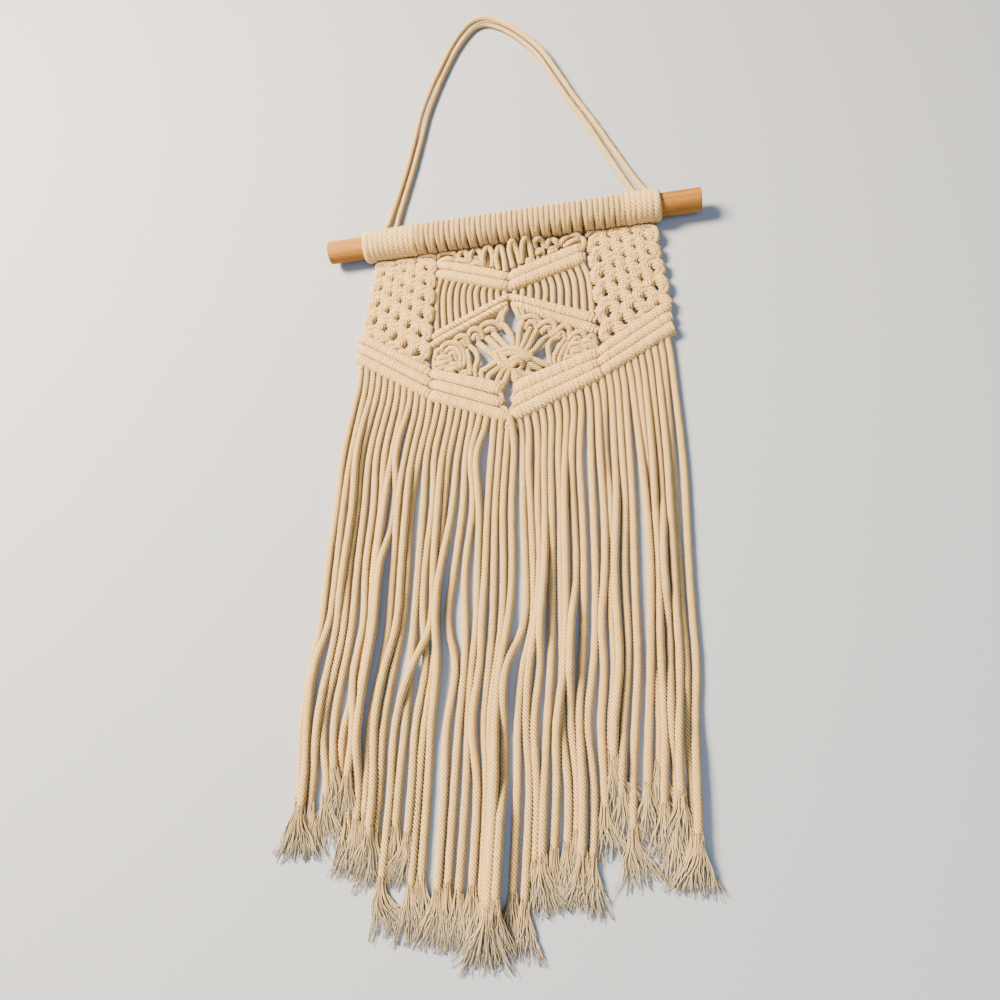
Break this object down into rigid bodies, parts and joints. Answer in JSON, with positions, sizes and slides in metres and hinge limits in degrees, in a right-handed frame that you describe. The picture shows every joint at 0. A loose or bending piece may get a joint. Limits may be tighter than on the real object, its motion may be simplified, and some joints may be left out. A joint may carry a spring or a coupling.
{
  "type": "macrame wall hanging on a wooden dowel",
  "caption": "Knotted cotton cord panel with a crossed centre and a long frayed fringe, on a wooden dowel with a cord hanger, for decorating a wall.",
  "frame": {"origin": "middle of the hanging's outline without its hanger cords, on the surface that it lies on", "axes": "+X along the dowel to the right, +Y up the hanging towards its hanger, +Z out of the surface, towards the viewer"},
  "size_m": [0.3086, 0.7802, 0.026],
  "materials": {
    "dowel_wood": "plain sanded wood",
    "heading_cord": "natural cotton cord",
    "panel_cord": "natural cotton cord",
    "fringe_cord": "natural cotton cord",
    "hanger_cord": "natural cotton cord"
  },
  "bodies": {
    "root": {"dowel": "dowel_wood", "heading": "heading_cord", "knotted_panel": "panel_cord", "fringe": "fringe_cord", "hanger_cord_outer": "hanger_cord", "hanger_cord_inner": "hanger_cord"}
  },
  "joints": []
}
